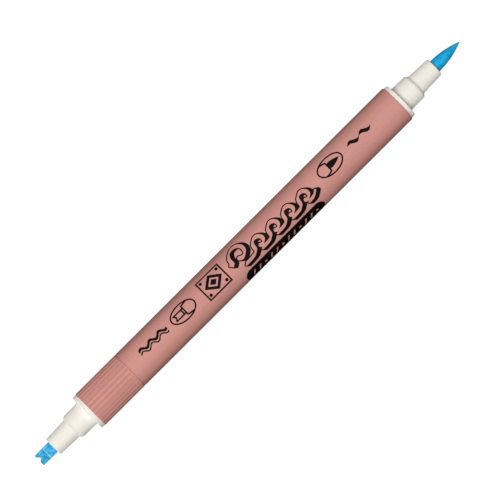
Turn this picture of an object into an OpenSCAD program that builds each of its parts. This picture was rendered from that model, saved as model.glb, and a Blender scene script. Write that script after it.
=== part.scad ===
// Twin-tip calligraphy marker, uncapped: a brush nib at one end and a two-line scroll nib at the other.
// The pen lies along X with the brush point at +X. The print side faces +Z, and the barrel rests on Z = 0.
// All sizes are in millimetres.

/* [Barrel] */
// Outer diameter of the barrel and of the end plug
barrel_d = 10.5; // [10.4:0.1:12]
// Length of the smooth barrel tube
barrel_len = 92.4; // [80:0.1:110]
// Wall thickness of the barrel tube
barrel_wall = 0.9; // [0.8:0.05:0.95]
// Number of ribs inside the tube that hold the reservoir on the axis
guide_rib_count = 6; // [4:1:8]
// Thickness of one guide rib
guide_rib_t = 0.6; // [0.4:0.1:1]

/* [End plug] */
// Length of the grooved sleeve
plug_len = 13.8; // [12:0.1:18]
// Number of finger grooves round the sleeve
groove_count = 26; // [16:1:28]
// Depth of one finger groove
groove_depth = 0.2; // [0.15:0.05:0.3]
// Width of one finger groove at the surface
groove_w = 0.45; // [0.4:0.05:0.8]
// Length of the spigot that presses into the barrel
spigot_len = 7; // [5:0.5:9]

/* [Nib holders] */
// Outer diameter at the mouth
mouth_d = 5.1; // [4.7:0.05:5.2]
// Diameter of the nose cone where it meets the shoulder
cone_d = 5.5; // [5.3:0.05:6]
// Length of the nose cone
cone_len = 6.3; // [5:0.1:8]
// Length of the rounded shoulder behind the cone
shoulder_len = 0.95; // [0.6:0.05:1.4]
// Diameter of the collar that a cap grips
collar_d = 7; // [6.6:0.1:7.6]
// Length of the collar, with its flared foot
collar_len = 4.45; // [3.5:0.05:6]
// Diameter of the brush holder's flange
brush_flange_d = 9.9; // [9.4:0.1:10.4]
// Diameter of the scroll holder's flange
scroll_flange_d = 10.3; // [9.4:0.1:10.4]
// Thickness of each flange
flange_len = 1.15; // [0.9:0.05:1.6]
// Length of the skirt that presses into the barrel or the end plug
skirt_len = 8; // [6:0.5:10]
// Number of ribs that grip the round brush nib
grip_rib_count = 6; // [4:1:8]

/* [Brush nib] */
// Diameter of the round brush nib
brush_d = 3.4; // [2.8:0.1:3.4]
// Length of the point outside the holder
brush_out = 8.9; // [7:0.05:10]
// Fullness of the point: 1 is a straight cone
brush_fullness = 2.1; // [1.2:0.1:2.4]

/* [Scroll nib] */
// Width of the scroll nib
scroll_w = 3.3; // [2.6:0.1:3.4]
// Thickness of the scroll nib
scroll_t = 2.2; // [1.8:0.1:2.2]
// Length of the nib outside the holder
scroll_out = 4.8; // [4:0.1:6]
// Length of the two sloping faces
chisel_len = 2.62; // [2:0.02:3.5]
// Thickness of the writing edge
edge_t = 0.8; // [0.5:0.1:1.2]
// Width of the notch that splits the line in two
notch_w = 1.6; // [1:0.1:1.6]
// Depth of the notch
notch_depth = 0.75; // [0.4:0.05:1]
// Offset of the notch towards the narrow tooth
notch_shift = 0.25; // [0:0.01:0.4]

/* [Reservoir] */
// Diameter of the fibre rod that holds the ink
fibre_d = 6.5; // [6:0.1:6.6]
// Thickness of the film wrapped round the rod
film_t = 0.15; // [0.1:0.05:0.15]
// Length of nib tail inside the rod
tail_depth = 7.6; // [5:0.1:10]

/* [Hidden] */
$fn = 96;

// Gaps and small edges
press_gap = 0.02;      // radial gap where one shell presses into another
nib_gap = 0.04;        // gap round a nib in its holder and in the rod
edge = 0.15;           // chamfer on the tubes' edges
bevel_len = 0.4;       // shallow bevel at the end of the grooved sleeve that meets the barrel
bevel_drop = 0.12;
lip = 0.3;             // rounding of a holder's mouth
flange_edge = 0.15;    // chamfer on a flange's outer edge
end_play = 0.25;       // gap between the rod and each nib tube
rib_end_gap = 0.5;     // from a guide rib's ends to the plug and to the brush holder
pocket_spare = 0.3;    // extra depth behind a skirt
film_gap = 0.1;        // room between the film and the guide ribs
cut = 1;               // how far a cutter runs past the solid

// Radii
barrel_r = barrel_d / 2;
bore_r = barrel_r - barrel_wall;
plug_in_r = bore_r - press_gap;      // outside of the plug's spigot and of the holders' skirts
band_drop = 0.15;                    // depth of the relief between the sealing bands
skirt_wall = 0.7;
skirt_inner_r = plug_in_r - skirt_wall;
nib_tube_r = 2.6;
chamber_r = 2.15;                    // air space round a nib, between the ribs that grip it
film_r = fibre_d / 2 + film_t;
seam_t = 0.06;                       // extra thickness where the film laps over itself
guide_r = film_r + film_gap;         // circle that the guide ribs and the plug leave for the film

// Lengths along the pen, from the scroll nib's edge
nose_len = cone_len + shoulder_len + collar_len + flange_len;
tube_overrun = 1.5;                  // how far a nib tube reaches past its skirt
nib_tube_len = nose_len + skirt_len + tube_overrun;
plug_x = scroll_out + nose_len;
barrel_x = plug_x + plug_len;
total_len = barrel_x + barrel_len + nose_len + brush_out;
reservoir_x = scroll_out + nib_tube_len + end_play;
reservoir_len = total_len - brush_out - nib_tube_len - end_play - reservoir_x;
scroll_nib_len = reservoir_x + tail_depth;
brush_nib_len = brush_out + nib_tube_len + end_play + tail_depth;
grip_len = 1.5;                      // length of the close-fitting ring at each end of a nib tube
foot_len = 1.2;                      // flared foot of the collar
foot_rise = 0.1;
socket_gap = 0.3;                    // space beyond a nib's tail in the rod

// Display colours shared by two pieces
pink = [0.80, 0.57, 0.54];
cream = [0.93, 0.91, 0.86];

// Local Z runs from the scroll end towards the brush end, starting x millimetres from the scroll edge.
// Local -X points up and local Y stays Y.
module from_scroll_end(x) {
    translate([x - total_len / 2, 0, barrel_r])
        rotate([0, 90, 0])
            children();
}

// Local Z runs from the brush end inwards, starting x millimetres from the brush point.
module from_brush_end(x) {
    translate([total_len / 2 - x, 0, barrel_r])
        rotate([0, -90, 0])
            children();
}

// Points of a shoulder that rises from radius r0 to r1 over a length and ends along the axis.
function shoulder(r0, r1, start, len, steps = 6) =
    [for (i = [0:steps]) [r0 + (r1 - r0) * sin(90 * i / steps), start + len * i / steps]];

// Points of a quarter-round edge of radius r that ends at radius outer.
function mouth_round(outer, r, steps = 4) =
    [for (i = [0:steps]) [outer - r + r * sin(90 * i / steps), r - r * cos(90 * i / steps)]];

// Outside of a stub that presses into a tube: three sealing bands with reliefs between them.
function banded(r, start, len) =
    let (band = len / 5, relief = r - band_drop)
    [
        [r, start],
        [r, start + band - edge],
        [relief, start + band],
        [relief, start + 2 * band],
        [r, start + 2 * band + edge],
        [r, start + 3 * band - edge],
        [relief, start + 3 * band],
        [relief, start + 4 * band],
        [r, start + 4 * band + edge],
        [r, start + len - edge],
        [r - edge, start + len]
    ];

// Barrel: a plain tube with guide ribs that stop short of the plug and of the brush holder.
module barrel() {
    rib_start = spigot_len + rib_end_gap;
    rib_len = barrel_len - skirt_len - rib_end_gap - rib_start;
    color(pink)
        from_scroll_end(barrel_x) {
            rotate_extrude()
                polygon([
                    [bore_r + edge, 0],
                    [barrel_r - edge, 0],
                    [barrel_r, edge],
                    [barrel_r, barrel_len - edge],
                    [barrel_r - edge, barrel_len],
                    [bore_r + edge, barrel_len],
                    [bore_r, barrel_len - edge],
                    [bore_r, edge]
                ]);
            for (i = [0:guide_rib_count - 1])
                rotate([0, 0, i * 360 / guide_rib_count])
                    translate([guide_r, -guide_rib_t / 2, rib_start])
                        cube([bore_r + barrel_wall / 2 - guide_r, guide_rib_t, rib_len]);
        }
}

// Tool that cuts one finger groove, open at the flange: a rod that cuts groove_w wide and groove_depth deep.
module groove_cutter() {
    cutter_r = (pow(groove_w / 2, 2) + pow(groove_depth, 2)) / (2 * groove_depth);
    margin = 0.1;          // from the grooves' ends to the bevel
    translate([barrel_r - groove_depth + cutter_r, 0, -cut])
        cylinder(r = cutter_r, h = cut + plug_len - bevel_len - margin, $fn = 32);
}

// End plug: the grooved sleeve at the scroll end, with a spigot that presses into the barrel.
module end_plug() {
    pocket_len = skirt_len + pocket_spare;
    color(pink)
        from_scroll_end(plug_x)
            difference() {
                rotate_extrude()
                    polygon(concat(
                        [
                            [bore_r + edge, 0],
                            [barrel_r - edge, 0],
                            [barrel_r, edge],
                            [barrel_r, plug_len - bevel_len],
                            [barrel_r - bevel_drop, plug_len]
                        ],
                        banded(plug_in_r, plug_len, spigot_len),
                        [
                            [guide_r + edge, plug_len + spigot_len],
                            [guide_r, plug_len + spigot_len - edge],
                            [guide_r, pocket_len + bore_r - guide_r],
                            [bore_r, pocket_len],
                            [bore_r, edge]
                        ]
                    ));
                for (i = [0:groove_count - 1])
                    rotate([0, 0, (i + 0.5) * 360 / groove_count])
                        groove_cutter();
            }
}

// Outside of a nib holder from its mouth inwards: cone, shoulder, collar, flange, skirt and nib tube.
module holder_body(flange_d) {
    flange_start = nose_len - flange_len;
    flange_r = flange_d / 2;
    rotate_extrude()
        polygon(concat(
            [[0, 0]],
            mouth_round(mouth_d / 2, lip),
            shoulder(cone_d / 2, collar_d / 2, cone_len, shoulder_len),
            [
                [collar_d / 2, flange_start - foot_len],
                [collar_d / 2 + foot_rise, flange_start],
                [flange_r - flange_edge, flange_start],
                [flange_r, flange_start + flange_edge],
                [flange_r, nose_len - edge],
                [flange_r - edge, nose_len]
            ],
            banded(plug_in_r, nose_len, skirt_len),
            [
                [skirt_inner_r, nose_len + skirt_len],
                [skirt_inner_r, nose_len],
                [nib_tube_r, nose_len],
                [nib_tube_r, nib_tube_len - edge],
                [nib_tube_r - edge, nib_tube_len],
                [0, nib_tube_len]
            ]
        ));
}

// Air space between the close-fitting rings at the two ends of a nib tube, left solid at its ribs.
module air_chamber() {
    difference() {
        translate([0, 0, grip_len])
            cylinder(r = chamber_r, h = nib_tube_len - 2 * grip_len);
        children();
    }
}

// Slot across the inner end of a nib tube that lets air past the nib.
module vent_slot() {
    slot_w = 0.8;
    slot_depth = 3;
    translate([-slot_w / 2, -nib_tube_r - cut, nib_tube_len - slot_depth])
        cube([slot_w, 2 * (nib_tube_r + cut), slot_depth + cut]);
}

// Brush holder: a round bore with ribs that grip the brush nib.
module brush_holder() {
    rib_t = 0.6;
    color(cream)
        from_brush_end(brush_out)
            difference() {
                holder_body(brush_flange_d);
                translate([0, 0, -cut])
                    cylinder(r = brush_d / 2 + nib_gap, h = nib_tube_len + 2 * cut);
                air_chamber()
                    for (i = [0:grip_rib_count - 1])
                        rotate([0, 0, i * 360 / grip_rib_count])
                            translate([0, -rib_t / 2, 0])
                                cube([nib_tube_r, rib_t, nib_tube_len]);
                vent_slot();
            }
}

// Scroll holder: a flat slot with two pads that grip the scroll nib's broad faces.
module scroll_holder() {
    slot_t = scroll_t + 2 * nib_gap;
    slot_w = scroll_w + 2 * nib_gap;
    pad_w = 1.4;
    color(cream)
        from_scroll_end(scroll_out)
            difference() {
                holder_body(scroll_flange_d);
                translate([-slot_t / 2, -slot_w / 2, -cut])
                    cube([slot_t, slot_w, nib_tube_len + 2 * cut]);
                air_chamber()
                    for (side = [-1, 1])
                        translate([side * (slot_t + nib_tube_r) / 2, 0, nib_tube_len / 2])
                            cube([nib_tube_r, pad_w, nib_tube_len], center = true);
                vent_slot();
            }
}

// Brush nib: a round fibre rod with a full, rounded point.
module brush_nib() {
    steps = 18;
    r = brush_d / 2;
    point = [for (i = [steps:-1:0]) [r * (1 - pow(i / steps, brush_fullness)), brush_out * (1 - i / steps)]];
    color([0.16, 0.68, 0.89])
        from_brush_end(0)
            rotate_extrude()
                polygon(concat(
                    point,
                    [
                        [r, brush_nib_len - edge],
                        [r - edge, brush_nib_len],
                        [0, brush_nib_len]
                    ]
                ));
}

// Outline of the scroll nib's bar with rounded corners.
function bar_outline(t, w, r, steps = 3) =
    [for (c = [0:3], i = [0:steps])
        let (a = 90 * (c + i / steps), sx = (c == 0 || c == 3) ? 1 : -1, sy = c < 2 ? 1 : -1)
        [sx * (t / 2 - r) + r * cos(a), sy * (w / 2 - r) + r * sin(a)]];

// Scroll nib: a flat fibre bar, sloped on both faces to its writing edge and notched into two teeth.
module scroll_nib() {
    notch_floor = 0.2;
    corner_r = 0.25;
    color([0.22, 0.66, 0.90])
        from_scroll_end(0)
            difference() {
                linear_extrude(scroll_nib_len)
                    polygon(bar_outline(scroll_t, scroll_w, corner_r));
                for (side = [-1, 1])
                    rotate([90, 0, 0])
                        linear_extrude(scroll_w + 2 * cut, center = true)
                            polygon([
                                [side * edge_t / 2, -cut],
                                [side * edge_t / 2, 0],
                                [side * scroll_t / 2, chisel_len],
                                [side * (scroll_t / 2 + cut), chisel_len],
                                [side * (scroll_t / 2 + cut), -cut]
                            ]);
                translate([0, notch_shift, 0])
                    rotate([90, 0, 90])
                        linear_extrude(scroll_t + 2 * cut, center = true)
                            polygon([
                                [-notch_w / 2, -cut],
                                [-notch_w / 2, 0],
                                [-notch_floor / 2, notch_depth],
                                [notch_floor / 2, notch_depth],
                                [notch_w / 2, 0],
                                [notch_w / 2, -cut]
                            ]);
            }
}

// Reservoir: a bonded fibre rod with a blind socket at each end for a nib's tail.
module reservoir() {
    socket_depth = tail_depth + socket_gap;
    slot_t = scroll_t + 2 * nib_gap;
    slot_w = scroll_w + 2 * nib_gap;
    color([0.90, 0.91, 0.92])
        from_scroll_end(reservoir_x)
            difference() {
                cylinder(d = fibre_d, h = reservoir_len);
                translate([-slot_t / 2, -slot_w / 2, -cut])
                    cube([slot_t, slot_w, socket_depth + cut]);
                translate([0, 0, reservoir_len - socket_depth])
                    cylinder(r = brush_d / 2 + nib_gap, h = socket_depth + cut);
            }
}

// Film: the thin wrap round the rod, thicker along the seam where it laps over itself.
module reservoir_film() {
    seam_side = 180 / guide_rib_count;   // half way between two guide ribs
    seam_half = 10;
    reach = 2 * film_r;
    color([0.85, 0.89, 0.93])
        from_scroll_end(reservoir_x)
            linear_extrude(reservoir_len)
                difference() {
                    union() {
                        circle(r = film_r);
                        intersection() {
                            circle(r = film_r + seam_t);
                            rotate([0, 0, seam_side])
                                polygon([
                                    [0, 0],
                                    [reach * cos(seam_half), -reach * sin(seam_half)],
                                    [reach * cos(seam_half), reach * sin(seam_half)]
                                ]);
                        }
                    }
                    circle(d = fibre_d);
                }
}

barrel();
end_plug();
brush_holder();
scroll_holder();
brush_nib();
scroll_nib();
reservoir();
reservoir_film();
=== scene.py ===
from math import atan2, ceil, cos, floor, hypot, pi, radians, sin, sqrt, tan

import bmesh
import bpy
from mathutils import Matrix, Vector
from mathutils.geometry import convex_hull_2d, delaunay_2d_cdt

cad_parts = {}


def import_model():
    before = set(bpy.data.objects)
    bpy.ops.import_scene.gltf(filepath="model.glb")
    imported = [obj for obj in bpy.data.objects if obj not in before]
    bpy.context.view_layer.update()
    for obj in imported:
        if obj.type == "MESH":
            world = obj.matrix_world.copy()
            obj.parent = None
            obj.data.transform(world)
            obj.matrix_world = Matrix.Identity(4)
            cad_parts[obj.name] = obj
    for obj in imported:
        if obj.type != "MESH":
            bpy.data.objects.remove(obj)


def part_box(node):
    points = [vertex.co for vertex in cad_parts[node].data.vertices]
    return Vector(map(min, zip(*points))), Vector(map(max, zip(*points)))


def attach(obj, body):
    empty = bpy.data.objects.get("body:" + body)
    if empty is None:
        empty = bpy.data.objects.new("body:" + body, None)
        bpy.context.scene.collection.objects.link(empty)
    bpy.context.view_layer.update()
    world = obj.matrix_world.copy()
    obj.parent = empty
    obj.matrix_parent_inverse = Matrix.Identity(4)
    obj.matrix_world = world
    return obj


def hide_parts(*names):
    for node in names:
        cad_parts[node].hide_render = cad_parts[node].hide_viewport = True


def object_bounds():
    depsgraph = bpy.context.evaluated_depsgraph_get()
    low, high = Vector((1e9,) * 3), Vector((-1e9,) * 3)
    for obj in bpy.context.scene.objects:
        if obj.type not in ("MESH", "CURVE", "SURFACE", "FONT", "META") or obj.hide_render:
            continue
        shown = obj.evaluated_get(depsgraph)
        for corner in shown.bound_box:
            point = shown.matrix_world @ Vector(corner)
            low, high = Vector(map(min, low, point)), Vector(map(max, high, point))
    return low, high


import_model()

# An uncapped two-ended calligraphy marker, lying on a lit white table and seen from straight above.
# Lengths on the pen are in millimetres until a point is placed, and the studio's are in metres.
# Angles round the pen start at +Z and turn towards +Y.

CAD_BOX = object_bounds()
MM = 0.001
TURN = 2 * pi


def span(node):
    """Where a CAD node starts and ends along the pen, and its outer radius."""
    low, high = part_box(node)
    return low.x / MM, high.x / MM, (high.z - low.z) / 2 / MM


BARREL_START, BARREL_END, BARREL_R = span("barrel")
PLUG_START, PLUG_END, _ = span("end_plug")
SCROLL_MOUTH, _, SCROLL_FLANGE_R = span("scroll_holder")
_, BRUSH_MOUTH, BRUSH_FLANGE_R = span("brush_holder")
SCROLL_EDGE, SCROLL_TAIL, _ = span("scroll_nib")
BRUSH_TAIL, BRUSH_POINT, BRUSH_R = span("brush_nib")
ROD_START, ROD_END, ROD_R = span("reservoir")
FILM_T = 0.15
FILM_R = ROD_R + FILM_T
AXIS_Z = (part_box("barrel")[0].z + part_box("barrel")[1].z) / 2

# Finish of the meshes
WELD = 1e-7            # metres; points closer than this are one
ARC_STEPS = 4          # segments in a rounded edge
SUPPORT = 0.04         # a ring this far from each rounded edge keeps the shading of the wall beside it even
SHARP = radians(40)
STEP_A = 0.004         # radians from the middle of a step to each side of it

# Tubes
WALL = 0.9
PRESS_GAP = 0.02
FILM_GAP = 0.1
BORE_R = BARREL_R - WALL
PRESS_R = BORE_R - PRESS_GAP
GUIDE_R = FILM_R + FILM_GAP
BAND_DROP = 0.15       # depth of the reliefs between the sealing bands of a press fit
BAND_SLOPE = 0.15      # length of the slope into a relief
BAND_ROUND = 0.05
RIBS = 6               # guide ribs in the barrel, and grip ribs in the brush holder
RIB_HALF = 0.075       # half of a guide rib's width, in radians
RIB_CLEAR = 8.5        # from the barrel's brush end to its guide ribs
RIB_GAP = 0.5          # from the plug to the guide ribs

# Grooved plug
GROOVES = 26
GROOVE_W = 0.5
GROOVE_DEPTH = 0.2
GROOVE_STOP = 0.1      # from the grooves' inner ends to the bevel
BEVEL_LEN = 0.4
BEVEL_DROP = 0.12
POCKET_LEN = 8.3

# Holders, measured from the mouth inwards
MOUTH_R = 2.55
CONE_R = 2.75
CONE_LEN = 6.3
SHOULDER_LEN = 0.95
COLLAR_R = 3.5
FOOT_LEN = 1.2
FOOT_RISE = 0.1
FLANGE_START = 11.7
NOSE_LEN = 12.85
SKIRT_END = 20.85
SKIRT_WALL = 0.7
SKIRT_IN_R = PRESS_R - SKIRT_WALL
TUBE_R = 2.6
TUBE_END = 22.35
CHAMBER_R = 2.15
GRIP_LEN = 1.5         # length of the ring at the mouth that fits the nib closely
GRIP_RIB_HALF = 0.3    # half of a grip rib's width
NIB_GAP = 0.04
PAD_HALF = 0.55        # half of a grip pad's width, in radians
VENT_DEPTH = 3
VENT_HALF = 0.17       # half of a vent slot's width, in radians
VENT_CLEAR = 0.1       # from the bottom of a vent slot to the next ring of the tube

# Brush nib
FULLNESS = 2.1         # 1 is a straight cone

# Scroll nib
SCROLL_W = 3.3
SCROLL_T = 2.2
SLOT_CORNER = atan2(SCROLL_W / 2 + NIB_GAP, SCROLL_T / 2 + NIB_GAP)
EDGE_T = 0.8
RIDGE = 2.7
NOTCH_SHIFT = 0.25
NOTCH_W = 1.6
NOTCH_DEPTH = 0.75
NOTCH_FLOOR = 0.12     # half of the width at the notch's bottom
SIDE_ROUND = 0.27
TIP_ROUND = 0.07
RIDGE_ROUND = 0.12

# Ink rod and its film
SOCKET_DEPTH = 7.9
FLUTES = 30
FLUTE_DEPTH = 0.02     # at its shallowest; a flute is three times as deep in its middle
SEAM_AT = radians(150)
SEAM_HALF = radians(10)
SEAM_RISE = 0.06

# Print: a film of ink that ends flush with the barrel's nominal radius
INK = 0.01
INK_DEPTH = 0.03
INK_STEP = 0.3
ICON_LINE = 0.205      # half of the line width in the two nib pictures


# ---------------------------------------------------------------- mesh building

def place(x, r, angle):
    """A point of the pen in metres."""
    return Vector((x * MM, r * sin(angle) * MM, AXIS_Z + r * cos(angle) * MM))


def piece(name, bm):
    """An object made from a bmesh, cleaned, smooth but for its sharp edges."""
    bmesh.ops.remove_doubles(bm, verts=bm.verts, dist=WELD)
    bmesh.ops.dissolve_degenerate(bm, edges=bm.edges, dist=WELD)
    bmesh.ops.recalc_face_normals(bm, faces=bm.faces)
    mesh = bpy.data.meshes.new(name)
    bm.to_mesh(mesh)
    bm.free()
    mesh.shade_smooth()
    mesh.set_sharp_from_angle(angle=SHARP)
    made = bpy.data.objects.new(name, mesh)
    bpy.context.scene.collection.objects.link(made)
    return made


def loft(name, rings, closed):
    """Quads between rings of equally many points. A closed loft joins its last ring to its first."""
    bm = bmesh.new()
    rows = [[bm.verts.new(p) for p in ring] for ring in rings]
    for one, two in zip(rows, rows[1:] + (rows[:1] if closed else [])):
        for a, b, c, d in zip(one, one[1:] + one[:1], two[1:] + two[:1], two):
            bm.faces.new((a, b, c, d))
    return piece(name, bm)


def rounded(profile, closed):
    """Rings (x, r, shape) along a profile of (x, r, bend radius, shape), with an arc at each bend."""
    made = []
    for i, (x, r, *rest) in enumerate(profile):
        bend = rest[0] if rest else 0
        shape = rest[1] if len(rest) > 1 else None
        if not bend or not (closed or 0 < i < len(profile) - 1):
            made.append((x, r, shape))
            continue
        here = Vector((x, r))
        back = (Vector(profile[i - 1][:2]) - here).normalized()
        ahead = (Vector(profile[(i + 1) % len(profile)][:2]) - here).normalized()
        half = back.angle(ahead) / 2
        reach = bend / tan(half)
        centre = here + (back + ahead).normalized() * bend / sin(half)
        first = (here + back * reach - centre).normalized()
        last = (here + ahead * reach - centre).normalized()
        made.append((*(here + back * (reach + SUPPORT)), shape))
        for k in range(ARC_STEPS + 1):
            made.append((*(centre + first.slerp(last, k / ARC_STEPS) * bend), shape))
        made.append((*(here + ahead * (reach + SUPPORT)), shape))
    return made


def revolve(name, profile, angles, closed=True, origin=0, inward=1):
    """A profile turned round the pen's axis. A ring's shape may shift each of its points along and out."""
    rings = []
    for x, r, shape in rounded(profile, closed):
        moves = [shape(x, r, a) if shape else (0, 0) for a in angles]
        rings.append([place(origin + inward * (x + dx), r + dr, a) for a, (dx, dr) in zip(angles, moves)])
    return loft(name, rings, closed)


def turns(count, marks=()):
    """Evenly spaced angles and some marked ones, in order."""
    every = [TURN * i / count for i in range(count)] + list(marks)
    return sorted({round(a % TURN, 6) for a in every})


def around(count, offsets, start=0):
    """The same offsets, in radians, either side of each of several evenly spaced angles."""
    return [start + TURN * i / count + side * o for i in range(count) for o in offsets for side in (-1, 1)]


def edge(half):
    """Offsets just inside and just outside the edge of a rib, pad or slot."""
    return half - STEP_A, half + STEP_A


# ---------------------------------------------------------------- shapes a ring can take

def from_nearest(angle, count, start=0):
    """The angle from the nearest of several evenly spaced marks."""
    pitch = TURN / count
    return ((angle - start) / pitch + 0.5) % 1 * pitch - pitch / 2


def ribbed(count, half, rise, start=0):
    """Ribs, or slots where rise is outwards, of a half width in radians."""
    return lambda x, r, a: (0, rise if abs(from_nearest(a, count, start)) < half else 0)


def grooved(end):
    """Half-round finger grooves with half-round inner ends, midway between the multiples of their pitch."""
    half = GROOVE_W / 2

    def shape(x, r, a):
        off = from_nearest(a, GROOVES, pi / GROOVES) * BARREL_R
        share = min(hypot(off, max(x - end + half, 0)) / half, 1)
        return 0, -GROOVE_DEPTH * sqrt(1 - share ** 2)

    return shape


def slot_bore(x, r, a):
    """The flat slot that a scroll nib passes through."""
    across = (SCROLL_W / 2 + NIB_GAP) / max(abs(sin(a)), 1e-6)
    up = (SCROLL_T / 2 + NIB_GAP) / max(abs(cos(a)), 1e-6)
    return 0, min(across, up) - r


def slot_chamber(x, r, a):
    """A round space with two flat pads that grip the nib's broad faces."""
    on_pad = abs(from_nearest(a, 2)) < PAD_HALF
    return 0, (SCROLL_T / 2 + NIB_GAP) / max(abs(cos(a)), 1e-6) - r if on_pad else 0


def vented(shape):
    """Adds the vent slot across a nib tube's inner end."""
    def both(x, r, a):
        dx, dr = shape(x, r, a) if shape else (0, 0)
        return (dx - VENT_DEPTH if abs(from_nearest(a, 2, pi / 2)) < VENT_HALF else dx), dr

    return both


def fibrous(depth, lobes):
    """Fine fibre ridges along the pen, always inwards so that the piece keeps its clearance."""
    def shape(x, r, a):
        wave = sin(lobes * a) + 0.6 * sin((lobes * 3 // 5) * a + 1.3) + 0.4 * sin((lobes // 3) * a + 0.7)
        return 0, depth * min(r / BRUSH_R, 1) * (wave - 2) / 4

    return shape


def fluted(x, r, a):
    """Shallow flutes along the ink rod."""
    return 0, -FLUTE_DEPTH * (2 - cos(FLUTES * a))


# ---------------------------------------------------------------- the pen's pieces

def bands(start, length, tip_bend=0.12):
    """Profile of a stub that presses into a tube: three sealing bands with reliefs between them."""
    band = length / 5
    low = PRESS_R - BAND_DROP
    made = [(start, PRESS_R)]
    for k in (1, 3):
        first, last = start + k * band, start + (k + 1) * band
        made += [
            (first - BAND_SLOPE, PRESS_R, BAND_ROUND),
            (first, low, BAND_ROUND),
            (last, low, BAND_ROUND),
            (last + BAND_SLOPE, PRESS_R, BAND_ROUND),
        ]
    made.append((start + length, PRESS_R, tip_bend))
    return made


def barrel():
    ribs = ribbed(RIBS, RIB_HALF, GUIDE_R - BORE_R)
    rib_start = PLUG_END + RIB_GAP
    rib_end = BARREL_END - RIB_CLEAR
    r = BARREL_R - INK
    profile = [
        (BARREL_START, BORE_R, 0.1),
        (BARREL_START, r, 0.06),
        (BARREL_END, r, 0.13),
        (BARREL_END, BORE_R, 0.1),
        (rib_end, BORE_R),
        (rib_end, BORE_R, 0, ribs),
        (rib_start, BORE_R, 0, ribs),
        (rib_start, BORE_R),
    ]
    return revolve("barrel_tube", profile, turns(120, around(RIBS, edge(RIB_HALF))))


def end_plug():
    end = BARREL_START - BEVEL_LEN - GROOVE_STOP
    shape = grooved(end)
    half = GROOVE_W / 2
    steps = [1, 0.8, 0.6, 0.4, 0.2, 0.08, 0.02, 0]
    run_out = [(end - half * s, BARREL_R, 0, shape) for s in steps]
    pocket = PLUG_START + POCKET_LEN
    profile = [
        (PLUG_START, BORE_R, 0.1),
        (PLUG_START, BARREL_R, 0.1, shape),
        *run_out,
        (BARREL_START - BEVEL_LEN, BARREL_R, 0.04),
        (BARREL_START, BARREL_R - BEVEL_DROP, 0.06),
        *bands(BARREL_START, PLUG_END - BARREL_START),
        (PLUG_END, GUIDE_R, 0.1),
        (pocket + BORE_R - GUIDE_R, GUIDE_R),
        (pocket, BORE_R),
    ]
    offsets = [half * s / BARREL_R for s in (0, 0.3, 0.55, 0.75, 0.9, 0.98, 1, 1.12)]
    angles = turns(4, around(GROOVES, [*offsets, TURN / GROOVES / 2], pi / GROOVES))
    return revolve("end_plug_sleeve", profile, angles)


def holder(name, mouth, inward, flange_r, bore_r, bore, chamber, marks):
    """A nib holder from its mouth inwards: cone, domed shoulder, collar, flange, skirt and nib tube."""
    dome = [i / 8 for i in range(2, 9)]
    before_vent = TUBE_END - VENT_DEPTH - VENT_CLEAR
    profile = [
        (0, bore_r, 0 if bore else 0.08, bore),
        (0, MOUTH_R, 0.3),
        (CONE_LEN, CONE_R, 0.45),
        *[(CONE_LEN + SHOULDER_LEN * t, CONE_R + (COLLAR_R - CONE_R) * sin(t * pi / 2)) for t in dome],
        (CONE_LEN + SHOULDER_LEN + SUPPORT, COLLAR_R),
        (FLANGE_START - FOOT_LEN, COLLAR_R, 0.4),
        (FLANGE_START, COLLAR_R + FOOT_RISE, 0.08),
        (FLANGE_START, flange_r, 0.12),
        (NOSE_LEN, flange_r, 0.06),
        *bands(NOSE_LEN, SKIRT_END - NOSE_LEN),
        (SKIRT_END, SKIRT_IN_R, 0.1),
        (NOSE_LEN, SKIRT_IN_R),
        (NOSE_LEN, TUBE_R),
        (before_vent, TUBE_R),
        (TUBE_END, TUBE_R, 0.12, vented(None)),
        (TUBE_END, bore_r, 0, vented(bore)),
        (before_vent, bore_r, 0, bore),
        (before_vent, CHAMBER_R, 0, chamber),
        (GRIP_LEN, CHAMBER_R, 0, chamber),
        (GRIP_LEN, bore_r, 0, bore),
    ]
    vents = around(2, edge(VENT_HALF), pi / 2)
    return revolve(name, profile, turns(96, [*vents, *marks]), origin=mouth, inward=inward)


def brush_holder():
    bore_r = BRUSH_R + NIB_GAP
    half = GRIP_RIB_HALF / CHAMBER_R
    marks = around(RIBS, edge(half))
    ribs = ribbed(RIBS, half, bore_r - CHAMBER_R)
    return holder("brush_holder_shell", BRUSH_MOUTH, -1, BRUSH_FLANGE_R, bore_r, None, ribs, marks)


def scroll_holder():
    near_corner = 0.02
    corner = (SLOT_CORNER, SLOT_CORNER - near_corner, SLOT_CORNER + near_corner)
    marks = around(2, (*corner, *edge(PAD_HALF)))
    return holder("scroll_holder_shell", SCROLL_MOUTH, 1, SCROLL_FLANGE_R, SCROLL_W / 2,
                  slot_bore, slot_chamber, marks)


def brush_nib():
    """A round fibre rod with a full point, ridged along its fibres."""
    steps = 30
    length = BRUSH_POINT - BRUSH_MOUTH
    fibres = fibrous(0.03, 35)
    point = []
    for i in range(steps, -1, -1):
        share = (i / steps) ** 0.75
        point.append((BRUSH_MOUTH + length * share, BRUSH_R * (1 - share ** FULLNESS), 0, fibres))
    profile = [
        *point,
        (BRUSH_MOUTH - 1, BRUSH_R, 0, fibres),
        (BRUSH_TAIL, BRUSH_R, 0.15, fibres),
        (BRUSH_TAIL, 0),
    ]
    return revolve("brush_nib_fibre", profile, turns(144), closed=False)


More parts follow.
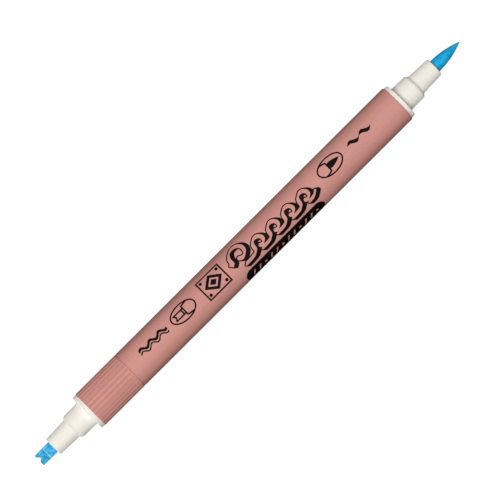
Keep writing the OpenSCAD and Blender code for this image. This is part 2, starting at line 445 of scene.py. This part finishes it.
def scroll_nib_outline():
    """The scroll nib from above, starting at its ridge on the -Y side."""
    w = SCROLL_W / 2
    length = SCROLL_TAIL - SCROLL_EDGE
    return [
        (RIDGE, -w),
        (0, -w),
        (0, NOTCH_SHIFT - NOTCH_W / 2),
        (NOTCH_DEPTH, NOTCH_SHIFT - NOTCH_FLOOR),
        (NOTCH_DEPTH, NOTCH_SHIFT + NOTCH_FLOOR),
        (0, NOTCH_SHIFT + NOTCH_W / 2),
        (0, w),
        (RIDGE, w),
        (length, w),
        (length, -w),
    ]


def bevel(bm, edges, offset, segments):
    bmesh.ops.bevel(bm, geom=edges, offset=offset * MM, segments=segments, profile=0.5, affect="EDGES")


def soften(bm):
    """Rounds the scroll nib's long sides, then its tips and corners, then its ridges."""
    side = (SCROLL_W / 2 - 0.01) * MM
    sides = [e for e in bm.edges if min(abs(v.co.y) for v in e.verts) > side
             and abs(e.verts[0].co.x - e.verts[1].co.x) > WELD]
    bevel(bm, sides, SIDE_ROUND, 4)
    tips = [e for e in bm.edges if e.is_convex and e.calc_face_angle(0) > radians(40)]
    bevel(bm, tips, TIP_ROUND, 2)
    ridge = [e for e in bm.edges if e.is_convex and radians(10) < e.calc_face_angle(0) < radians(20)
             and abs(e.verts[0].co.x - e.verts[1].co.x) < WELD and e.calc_length() > MM]
    bevel(bm, ridge, RIDGE_ROUND, 3)


def scroll_nib():
    """A flat fibre bar, sloped on both faces to its writing edge, which a notch splits in two teeth."""
    outline = scroll_nib_outline()
    bm = bmesh.new()
    rows = []
    for side in (1, -1):
        row = []
        for x, y in outline:
            thick = EDGE_T + (SCROLL_T - EDGE_T) * min(x / RIDGE, 1)
            z = AXIS_Z / MM + side * thick / 2
            row.append(bm.verts.new(Vector((SCROLL_EDGE + x, y, z)) * MM))
        rows.append(row)
        bm.faces.new(row[:8])                                # the slope, from the ridge to the teeth
        bm.faces.new([row[0], row[7], row[8], row[9]])       # the flat part behind the ridge
    for i in range(len(outline)):
        j = (i + 1) % len(outline)
        bm.faces.new((rows[0][i], rows[0][j], rows[1][j], rows[1][i]))
    bmesh.ops.recalc_face_normals(bm, faces=bm.faces)
    soften(bm)
    made = piece("scroll_nib_fibre", bm)
    made.modifiers.new("Even shading", "WEIGHTED_NORMAL").keep_sharp = True
    return made


def reservoir():
    """The ink rod, with a flat socket at its scroll end and a round one at its brush end."""
    round_r = BRUSH_R + NIB_GAP
    profile = [
        (ROD_START + SOCKET_DEPTH, 0),
        (ROD_START + SOCKET_DEPTH, SCROLL_W / 2, 0, slot_bore),
        (ROD_START, SCROLL_W / 2, 0, slot_bore),
        (ROD_START, ROD_R, 0.15, fluted),
        (ROD_END, ROD_R, 0.15, fluted),
        (ROD_END, round_r, 0.08),
        (ROD_END - SOCKET_DEPTH, round_r),
        (ROD_END - SOCKET_DEPTH, 0),
    ]
    return revolve("reservoir_rod", profile, turns(180, around(2, (SLOT_CORNER,))), closed=False)


def reservoir_film():
    """The wrap round the ink rod, thicker along the seam where it laps over itself."""
    seam = ribbed(1, SEAM_HALF, SEAM_RISE, SEAM_AT)
    profile = [
        (ROD_START, ROD_R),
        (ROD_START, FILM_R, 0, seam),
        (ROD_END, FILM_R, 0, seam),
        (ROD_END, ROD_R),
    ]
    marks = [SEAM_AT - SEAM_HALF - STEP_A, SEAM_AT - SEAM_HALF + STEP_A,
             SEAM_AT + SEAM_HALF - STEP_A, SEAM_AT + SEAM_HALF + 5 * STEP_A]
    return revolve("reservoir_wrap", profile, turns(96, marks))


# ---------------------------------------------------------------- print on the barrel

# A place on the print is (x, v): x from the barrel's scroll end, v round the barrel from its top towards +Y.

def dot(r, count=10):
    """A round nib."""
    return [(r * cos(TURN * i / count), r * sin(TURN * i / count)) for i in range(count)]


def flat(width, thick, slant):
    """A broad nib held at a slant."""
    c, s = cos(slant), sin(slant)
    corners = [(a * width / 2, b * thick / 2) for a, b in ((1, 1), (-1, 1), (-1, -1), (1, -1))]
    return [(c * a - s * b, s * a + c * b) for a, b in corners]


def hull(points):
    points = [Vector(p) for p in points]
    return [points[i] for i in convex_hull_2d(points)]


def swept(nib, vector):
    """A nib stretched along a vector, which gives a stroke its drop shadow."""
    return hull(list(nib) + [(x + vector[0], v + vector[1]) for x, v in nib])


def grown(nib, by):
    """A nib enlarged all round."""
    return hull([(x + dx, v + dv) for x, v in nib for dx, dv in dot(by, 8)])


def stroke(path, nib):
    """The polygons that a nib covers along a path."""
    return [hull([(x + dx, v + dv) for x, v in pair for dx, dv in nib]) for pair in zip(path, path[1:])]


def loop(points):
    return list(points) + [points[0]]


def wave(start, end, middle, height, length, steps=60):
    """A sine wave along the barrel."""
    xs = [start + (end - start) * i / steps for i in range(steps + 1)]
    return [(x, middle + height * sin(TURN * (x - start) / length)) for x in xs]


def oval(x, v, a, b, count=56):
    return [(x + a * cos(TURN * i / count), v + b * sin(TURN * i / count)) for i in range(count)]


def bezier(a, b, c, d, steps=10):
    """Points of a cubic curve."""
    made = []
    for i in range(steps):
        t = i / steps
        s = 1 - t
        weights = (s ** 3, 3 * s * s * t, 3 * s * t * t, t ** 3)
        made.append(tuple(sum(w * p[k] for w, p in zip(weights, (a, b, c, d))) for k in (0, 1)))
    return made


def counter_clockwise(points):
    area = sum(a[0] * b[1] - b[0] * a[1] for a, b in zip(points, points[1:] + points[:1]))
    return points if area > 0 else points[::-1]


def covered(adds, cuts):
    """Flat triangles over the union of some polygons less some others, cut across at every INK_STEP."""
    points, faces, edges = [], [], []
    for outline in [*adds, *cuts]:
        first = len(points)
        points += counter_clockwise([Vector(p) for p in outline])
        faces.append(list(range(first, len(points))))
    low = min(p[1] for p in points)
    high = max(p[1] for p in points)
    left = min(p[0] for p in points) - 1
    right = max(p[0] for p in points) + 1
    for k in range(ceil(low / INK_STEP), floor(high / INK_STEP) + 1):
        edges.append((len(points), len(points) + 1))
        points += [Vector((left, k * INK_STEP)), Vector((right, k * INK_STEP))]
    flat_points, _, triangles, _, _, sources = delaunay_2d_cdt(points, edges, faces, 0, 1e-5)
    kept = [t for t, ids in zip(triangles, sources) if ids and max(ids) < len(adds)]
    return flat_points, kept


def decal(name, adds, cuts=()):
    """Ink on the barrel: some flat polygons less some others, bent round the barrel and closed below."""
    flat_points, kept = covered(adds, cuts)
    bm = bmesh.new()
    used = sorted({i for t in kept for i in t})
    spots = {i: (BARREL_START + flat_points[i].x, flat_points[i].y / BARREL_R) for i in used}
    top = {i: bm.verts.new(place(x, BARREL_R, a)) for i, (x, a) in spots.items()}
    under = {i: bm.verts.new(place(x, BARREL_R - INK_DEPTH, a)) for i, (x, a) in spots.items()}
    sides = [(t[i], t[(i + 1) % 3]) for t in kept for i in range(3)]
    inside = set(sides)
    for a, b, c in kept:
        bm.faces.new((top[a], top[b], top[c]))
        bm.faces.new((under[c], under[b], under[a]))
    for a, b in sides:
        if (b, a) not in inside:
            bm.faces.new((top[a], under[a], under[b], top[b]))
    return piece(name, bm)


def scroll_sample():
    """A wide and a narrow line side by side: what the scroll nib writes."""
    start, end, height, length = 4.4, 13.4, 0.45, 3.1
    wide_v, wide_line, thin_v, thin_line, nib_edge = 1.4, 0.72, 0.5, 0.36, 0.1
    wide = stroke(wave(start, end, wide_v, height, length), flat(nib_edge, wide_line, 0))
    thin = stroke(wave(start, end, thin_v, height, length), flat(nib_edge, thin_line, 0))
    return decal("print_scroll_sample", wide + thin)


def brush_sample():
    """A stroke that swells and thins: what the brush nib writes."""
    start, end, middle, height, length, steps = 75.8, 83.6, 1.15, 0.4, 3.9, 56
    thinnest, swell = 0.06, 0.5
    path = wave(start, end, middle, height, length, steps)
    half = [thinnest + swell * abs(sin(TURN * i / steps)) ** 1.1 for i in range(steps + 1)]
    shapes = [
        [(x0, v0 - h0), (x1, v1 - h1), (x1, v1 + h1), (x0, v0 + h0)]
        for (x0, v0), (x1, v1), h0, h1 in zip(path, path[1:], half, half[1:])
    ]
    return decal("print_brush_sample", shapes)


def scroll_icon():
    """The scroll nib and its holder in an oval."""
    x, v = 18.97, 1.0
    line = dot(ICON_LINE)
    bar = [(-2.7, 0.72), (0.5, 0.72), (0.5, -0.72), (-2.7, -0.72), (-2.15, 0.05)]
    shell = [(2.45, 1.66), (1.3, 1.5), (0.5, 1.35), (0.5, -1.35), (1.3, -1.5), (2.45, -1.66)]
    adds = stroke(loop(oval(x, v, 3.8, 2.17)), line)
    adds += stroke(loop([(x + a, v + b) for a, b in bar]), line)
    adds += stroke([(x - 0.15, v + 0.72), (x - 0.15, v - 0.72)], line)
    adds += stroke([(x + a, v + b) for a, b in shell], line)
    return decal("print_scroll_icon", adds)


def brush_icon():
    """The brush nib and its holder in an oval."""
    x, v = 69.66, 1.05
    line = dot(ICON_LINE)
    shell = [(-2.3, 1.66), (-1.2, 1.45), (-0.62, 1.3), (-0.62, -1.3), (-1.2, -1.45), (-2.3, -1.66)]
    drop = [(0, 0.74), *bezier((0.5, 0.88), (1.8, 0.84), (2.8, 0.4), (3.65, 0)),
            *bezier((3.65, 0), (2.8, -0.4), (1.8, -0.84), (0.5, -0.88)), (0, -0.74)]
    adds = stroke(loop(oval(x, v, 3.78, 2.17)), line)
    adds += [[(x - 0.55 + a, v + b) for a, b in drop]]
    adds += stroke([(x + a, v + b) for a, b in shell], line)
    return decal("print_brush_icon", adds)


def badge():
    """A framed lozenge with a dot in each corner."""
    x, v = 29.37, 0.91
    half_w, half_h, frame_line = 3.58, 2.86, 0.42
    spot_x, spot_v, spot_r = 2.7, 1.95, 0.45
    frame_path = loop([(x - half_w, v - half_h), (x + half_w, v - half_h), (x + half_w, v + half_h),
                       (x - half_w, v + half_h)])

    def lozenge(a, b):
        return [(x + a, v), (x, v + b), (x - a, v), (x, v - b)]

    corners = [(x + side * spot_x, v + end * spot_v) for side in (-1, 1) for end in (-1, 1)]
    spots = [[(cx + a, cv + b) for a, b in dot(spot_r)] for cx, cv in corners]
    adds = stroke(frame_path, flat(frame_line, frame_line, 0)) + [lozenge(2.9, 2.35)] + spots
    ring = decal("print_badge", adds, [lozenge(1.75, 1.42)])
    heart = decal("print_badge_centre", [lozenge(1.1, 0.88)])
    return ring, heart


def curl(start, centre, radius, end_r, sweep):
    """A stem that rises from a trough and curls over to the right."""
    x, v = centre
    left = (x - radius, v)
    reach = left[0] - start[0]
    path = bezier(start, (start[0] + 0.75 * reach, start[1]), (left[0], v - 0.8 * radius), left)
    steps = 34
    for i in range(steps + 1):
        t = i / steps
        a = pi - radians(sweep) * t
        r = radius + (end_r - radius) * t
        path.append((x + r * cos(a), v + r * sin(a)))
    return path


def flourish():
    """A running scroll drawn with a broad nib: pink inside, with a black outline and drop shadow."""
    base = -1.7
    curls = [curl((35.2, 0.9), (38.5, 1.5), 2.75, 1.15, 300)]
    troughs = [38.3, 43.9, 49.1, 54.3]
    for start, middle in zip(troughs, (44.2, 49.4, 54.6, 59.8)):
        curls.append(curl((start, base), (middle, -0.05), 1.85, 0.85, 290))
    nib = flat(0.95, 0.42, radians(35))
    outline, ball = 0.31, 0.52
    shadow = (0.7, -0.56)
    outer = swept(grown(nib, outline), shadow)
    adds, cuts = [], []
    for path in curls:
        end = path[-1]
        adds += stroke(path, outer)
        adds.append([(end[0] + a, end[1] + b) for a, b in swept(dot(ball + outline, 16), shadow)])
        cuts += stroke(path, nib)
        cuts.append([(end[0] + a, end[1] + b) for a, b in dot(ball, 16)])
    tail = bezier((60.0, base), (61.4, base), (62.2, -1.55), (62.7, -0.65), 14)
    adds += stroke(tail, outer)
    cuts += stroke(tail, nib)
    return decal("print_flourish", adds, cuts)


def band():
    """A black band low on the barrel's -Y side, with a pattern of slanted bars and dots left bare."""
    start, end, low, high = 35.8, 62.5, -7.5, -3.55
    middle, r = (low + high) / 2, (high - low) / 2
    solid = hull([(x + a, middle + b) for x in (start + r, end - r) for a, b in dot(r, 32)])
    bar = ((-0.62, -0.85), (-0.12, -0.85), (0.62, 0.85), (0.12, 0.85))
    first, pitch, marks, dot_r = 38.37, 1.96, 12, 0.4
    cuts = []
    for k in range(marks):
        x = first + pitch * k
        mark = dot(dot_r, 14) if k % 3 == 2 else bar
        cuts.append([(x + a, middle + b) for a, b in mark])
    return decal("print_band", [solid], cuts)


# ---------------------------------------------------------------- materials

def new_material(name):
    made = bpy.data.materials.new(name)
    made.use_nodes = True
    return made, made.node_tree, made.node_tree.nodes["Principled BSDF"]


def add(tree, kind, settings=(), **inputs):
    """A shader node with its settings, each input linked or set."""
    made = tree.nodes.new("ShaderNode" + kind)
    for key, value in dict(settings).items():
        setattr(made, key, value)
    for key, value in inputs.items():
        socket = made.inputs[key.replace("_", " ")]
        if isinstance(value, bpy.types.NodeSocket):
            tree.links.new(value, socket)
        else:
            socket.default_value = value
    return made


def noise(tree, scale, stretch=(1, 1, 1), detail=2.0):
    """Noise in the pen's own coordinates. Scale is in features per metre."""
    coords = add(tree, "TexCoord").outputs["Object"]
    mapped = add(tree, "Mapping", Vector=coords, Scale=stretch).outputs[0]
    return add(tree, "TexNoise", Vector=mapped, Scale=scale, Detail=detail).outputs[0]


def ramp(tree, factor, *stops):
    """A colour ramp with stops of (position, colour)."""
    made = add(tree, "ValToRGB", Fac=factor)
    elements = made.color_ramp.elements
    while len(elements) < len(stops):
        elements.new(0.5)
    for element, (position, colour) in zip(elements, stops):
        element.position = position
        element.color = (*colour, 1)
    return made.outputs[0]


def mix(tree, factor, one, two, blend="MIX"):
    made = add(tree, "Mix", {"data_type": "RGBA", "blend_type": blend})
    for index, value in ((0, factor), (6, one), (7, two)):
        if isinstance(value, bpy.types.NodeSocket):
            tree.links.new(value, made.inputs[index])
        else:
            made.inputs[index].default_value = value if index == 0 else (*value, 1)
    return made.outputs[2]


def to_range(tree, value, low, high, start=0.3, end=0.7):
    """A noise value spread over a range."""
    made = add(tree, "MapRange", Value=value, From_Min=start, From_Max=end, To_Min=low, To_Max=high)
    return made.outputs[0]


def bump(tree, height, strength, distance):
    return add(tree, "Bump", Height=height, Strength=strength, Distance=distance * MM).outputs[0]


def plastic(name, dark, light, rough, grain, gloss):
    """Moulded plastic: slow colour drift, a fine grain, draw marks along the pen and uneven gloss."""
    made, tree, shader = new_material(name)
    drift = noise(tree, 70, detail=3)
    speck = noise(tree, 2600, detail=1)
    draw = noise(tree, 900, (0.03, 1, 1), detail=2)
    base = ramp(tree, drift, (0.3, dark), (0.7, light))
    base = mix(tree, 0.08, base, ramp(tree, speck, (0.35, (0.3, 0.3, 0.3)), (0.65, (1, 1, 1))), "MULTIPLY")
    base = mix(tree, 0.05, base, ramp(tree, draw, (0.4, (0.4, 0.4, 0.4)), (0.6, (1, 1, 1))), "MULTIPLY")
    tree.links.new(base, shader.inputs["Base Color"])
    uneven = mix(tree, 0.5, drift, draw)
    tree.links.new(to_range(tree, uneven, rough - 0.05, rough + 0.06), shader.inputs["Roughness"])
    height = mix(tree, 0.35, speck, draw)
    tree.links.new(bump(tree, height, grain, 0.02), shader.inputs["Normal"])
    shader.inputs["Specular IOR Level"].default_value = gloss
    return made, tree, shader


def pink_plastic(name, grooved=False):
    """Dusty pink. On the grooved plug, painted shade darkens it low in the grooves."""
    made, tree, shader = plastic(name, (0.585, 0.266, 0.228), (0.625, 0.288, 0.249), 0.55, 0.25, 0.15)
    if grooved:
        coords = add(tree, "TexCoord").outputs["Object"]
        across = add(tree, "Mapping", Vector=coords, Location=(0, 0, -AXIS_Z), Scale=(0, 1, 1)).outputs[0]
        radius = add(tree, "VectorMath", {"operation": "LENGTH"}, Vector=across).outputs["Value"]
        height = to_range(tree, radius, 0, 1, BORE_R * MM, BARREL_R * MM)
        # painted shade: the base colour is darkened low in the grooves, by distance from the axis
        low = (0.89, 0.86, 0.85)
        painted_groove_shade = ramp(tree, height, (0.5, (1, 1, 1)), (0.72, low), (0.86, low), (0.985, (1, 1, 1)))
        plain_colour = shader.inputs["Base Color"].links[0].from_socket
        tree.links.new(mix(tree, 1.0, plain_colour, painted_groove_shade, "MULTIPLY"), shader.inputs["Base Color"])
    return made


def cream_plastic():
    made, _, shader = plastic("Cream_plastic", (0.90, 0.858, 0.785), (0.932, 0.895, 0.832), 0.5, 0.15, 0.15)
    shader.inputs["Subsurface Weight"].default_value = 0.7
    shader.inputs["Subsurface Radius"].default_value = (1.0, 1.0, 1.0)
    shader.inputs["Subsurface Scale"].default_value = 0.25 * MM
    shader.inputs["Sheen Weight"].default_value = 1.0
    shader.inputs["Sheen Roughness"].default_value = 0.7
    shader.inputs["Sheen Tint"].default_value = (1.0, 0.94, 0.86, 1.0)
    return made


def light_ridge_line(tree, base, ridge_at):
    """A base colour with a light, patchy line across the pen along a ridge."""
    coords = add(tree, "TexCoord").outputs["Object"]
    x = add(tree, "SeparateXYZ", Vector=coords).outputs[0]
    away = add(tree, "Math", {"operation": "SUBTRACT"})
    tree.links.new(x, away.inputs[0])
    away.inputs[1].default_value = ridge_at * MM
    size = add(tree, "Math", {"operation": "ABSOLUTE"})
    tree.links.new(away.outputs[0], size.inputs[0])
    # the colour is lighter, in patches, within 0.2 mm of the ridge
    near = to_range(tree, size.outputs[0], 1.0, 0.0, 0.04 * MM, 0.2 * MM)
    patchy = to_range(tree, noise(tree, 1500, detail=2), 0.1, 0.9, 0.4, 0.6)
    ridge_line = add(tree, "Math", {"operation": "MULTIPLY"})
    tree.links.new(near, ridge_line.inputs[0])
    tree.links.new(patchy, ridge_line.inputs[1])
    return mix(tree, ridge_line.outputs[0], base, (0.32, 0.70, 0.90))


def fibre(name, dark, middle, light, grain, ridge_at=None):
    """Bonded fibre soaked with ink: streaks along the pen, pores and a light line along a ridge."""
    made, tree, shader = new_material(name)
    blotch = noise(tree, grain, (0.6, 1, 1), detail=3)
    streak = noise(tree, 5200, (0.05, 1, 1), detail=2)
    base = ramp(tree, blotch, (0.32, dark), (0.5, middle), (0.68, light))
    lines = ramp(tree, streak, (0.38, (0.35, 0.45, 0.5)), (0.62, (1, 1, 1)))
    base = mix(tree, 0.3, base, lines, "MULTIPLY")
    if ridge_at is not None:
        base = light_ridge_line(tree, base, ridge_at)
    tree.links.new(base, shader.inputs["Base Color"])
    tree.links.new(to_range(tree, blotch, 0.72, 0.92), shader.inputs["Roughness"])
    tree.links.new(bump(tree, mix(tree, 0.6, blotch, streak), 0.5, 0.03), shader.inputs["Normal"])
    shader.inputs["Specular IOR Level"].default_value = 0.1
    return made


def ink():
    """Screen-printed ink: near black and slightly uneven in cover."""
    made, tree, shader = new_material("Printed_ink")
    cover = noise(tree, 1800, detail=3)
    thick, middling, thin = (0.003, 0.002, 0.002), (0.006, 0.003, 0.003), (0.016, 0.009, 0.008)
    base = ramp(tree, cover, (0.3, thick), (0.62, middling), (0.75, thin))
    tree.links.new(base, shader.inputs["Base Color"])
    tree.links.new(to_range(tree, cover, 0.5, 0.65), shader.inputs["Roughness"])
    tree.links.new(bump(tree, cover, 0.2, 0.01), shader.inputs["Normal"])
    shader.inputs["Specular IOR Level"].default_value = 0.06
    return made


def rod_fibre():
    """White fibre bundle, stained in places by the blue ink."""
    made, tree, shader = new_material("Rod_fibre")
    stain = noise(tree, 90, (0.4, 1, 1), detail=3)
    streak = noise(tree, 3000, (0.02, 1, 1), detail=2)
    plain_colour, tinged, stained = (0.74, 0.78, 0.80), (0.62, 0.76, 0.84), (0.30, 0.58, 0.78)
    base = ramp(tree, stain, (0.35, plain_colour), (0.6, tinged), (0.75, stained))
    base = mix(tree, 0.25, base, ramp(tree, streak, (0.4, (0.5, 0.5, 0.5)), (0.6, (1, 1, 1))), "MULTIPLY")
    tree.links.new(base, shader.inputs["Base Color"])
    tree.links.new(to_range(tree, streak, 0.75, 0.95), shader.inputs["Roughness"])
    tree.links.new(bump(tree, streak, 0.5, 0.03), shader.inputs["Normal"])
    return made


def clear_film():
    """Thin clear wrap with faint wrinkles."""
    made, tree, shader = new_material("Clear_film")
    wrinkle = noise(tree, 420, (0.3, 1, 1), detail=3)
    base = ramp(tree, wrinkle, (0.3, (0.80, 0.84, 0.87)), (0.7, (0.90, 0.92, 0.94)))
    tree.links.new(base, shader.inputs["Base Color"])
    tree.links.new(to_range(tree, wrinkle, 0.12, 0.3), shader.inputs["Roughness"])
    tree.links.new(bump(tree, wrinkle, 0.3, 0.05), shader.inputs["Normal"])
    shader.inputs["Alpha"].default_value = 0.45
    return made


# ---------------------------------------------------------------- studio

FLOOR_GLOW = 0.74
KEY_POWER = 61.5
KEY_SIZE = 2.0
KEY_PLACE = (-0.6, 0.09, 2.12)
WORLD_LIGHT = 0.05


def table_material():
    """Lit white acrylic: partly its own glow, so that shadows on it stay faint."""
    made, tree, shader = new_material("Lit_table")
    cloud = noise(tree, 3, detail=2)
    base = ramp(tree, cloud, (0.3, (0.46, 0.46, 0.46)), (0.7, (0.48, 0.48, 0.48)))
    tree.links.new(base, shader.inputs["Base Color"])
    tree.links.new(to_range(tree, cloud, 0.85, 0.95), shader.inputs["Roughness"])
    shader.inputs["Specular IOR Level"].default_value = 0.0
    shader.inputs["Emission Color"].default_value = (1, 1, 1, 1)
    shader.inputs["Emission Strength"].default_value = FLOOR_GLOW
    return made


def table():
    """A round white table that sweeps up into a wall."""
    low = CAD_BOX[0][2]
    inner_r, flat_r, bend, wall = 0.6, 2.6, 0.6, 2.6
    profile = [(0.0, low), (inner_r, low), (flat_r, low)]
    bend_angles = [pi / 2 * i / 12 for i in range(1, 13)]
    profile += [(flat_r + bend * sin(a), low + bend * (1 - cos(a))) for a in bend_angles]
    profile.append((flat_r + bend, low + wall))
    count = 96
    rings = [[Vector((r * cos(TURN * i / count), r * sin(TURN * i / count), z)) for i in range(count)]
             for r, z in profile]
    made = loft("table_top", rings, False)
    made.data.materials.append(table_material())
    made.visible_diffuse = False
    made.visible_glossy = False


def key_light():
    """One large soft light overhead, towards the scroll end and a little towards +Y."""
    data = bpy.data.lights.new("Key", "AREA")
    data.shape = "DISK"
    data.size = KEY_SIZE
    data.energy = KEY_POWER
    made = bpy.data.objects.new("Key", data)
    made.location = KEY_PLACE
    made.rotation_euler = (-made.location).to_track_quat("-Z", "Y").to_euler()
    made.visible_camera = False
    bpy.context.scene.collection.objects.link(made)


def world():
    made = bpy.data.worlds.new("Studio")
    made.use_nodes = True
    background = made.node_tree.nodes["Background"]
    background.inputs["Color"].default_value = (1, 1, 1, 1)
    background.inputs["Strength"].default_value = WORLD_LIGHT
    bpy.context.scene.world = made


def camera():
    """Looks down from above the scroll end through a long lens, with the brush nib at the upper right."""
    data = bpy.data.cameras.new("Camera")
    data.lens = 352
    data.sensor_width = 36
    data.clip_end = 20
    made = bpy.data.objects.new("Camera", data)
    tilt, roll = radians(2.63), radians(-44.906)
    view_width = 0.1224
    shift_right, shift_up = -0.00003, 0.00012
    turn = Matrix.Rotation(-tilt, 3, "Y") @ Matrix.Rotation(roll, 3, "Z")
    right, up, back = turn.col
    middle = (CAD_BOX[0] + CAD_BOX[1]) / 2
    aim = Vector((middle.x, 0, AXIS_Z)) + right * shift_right + up * shift_up
    made.location = aim + back * view_width * data.lens / data.sensor_width
    made.rotation_euler = turn.to_euler()
    bpy.context.scene.collection.objects.link(made)
    bpy.context.scene.camera = made


# ---------------------------------------------------------------- putting it together

def dress(made, material, body, node=None):
    """Gives a piece its material and its body, and hides the CAD node that it stands for."""
    made.data.materials.append(material)
    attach(made, body)
    if node:
        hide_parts(node)


def marker():
    pink = pink_plastic("Pink_plastic")
    grooved_pink = pink_plastic("Pink_plastic_groove_shade", True)
    cream = cream_plastic()
    brush_blue = fibre("Brush_fibre", (0.008, 0.34, 0.65), (0.013, 0.42, 0.79), (0.026, 0.47, 0.85), 1500)
    scroll_blue = fibre("Scroll_fibre", (0.018, 0.22, 0.43), (0.045, 0.39, 0.71), (0.110, 0.53, 0.86), 2000,
                        SCROLL_EDGE + RIDGE)
    dress(barrel(), pink, "barrel", "barrel")
    dress(end_plug(), grooved_pink, "end_plug", "end_plug")
    dress(brush_holder(), cream, "brush_holder", "brush_holder")
    dress(scroll_holder(), cream, "scroll_holder", "scroll_holder")
    dress(brush_nib(), brush_blue, "brush_nib", "brush_nib")
    dress(scroll_nib(), scroll_blue, "scroll_nib", "scroll_nib")
    dress(reservoir(), rod_fibre(), "barrel", "reservoir")
    dress(reservoir_film(), clear_film(), "barrel", "reservoir_film")


def prints():
    black = ink()
    marks = [scroll_sample(), scroll_icon(), *badge(), flourish(), band(), brush_icon(), brush_sample()]
    for made in marks:
        dress(made, black, "barrel")


marker()
prints()
table()
key_light()
world()
camera()
bpy.context.scene.view_settings.view_transform = "Standard"
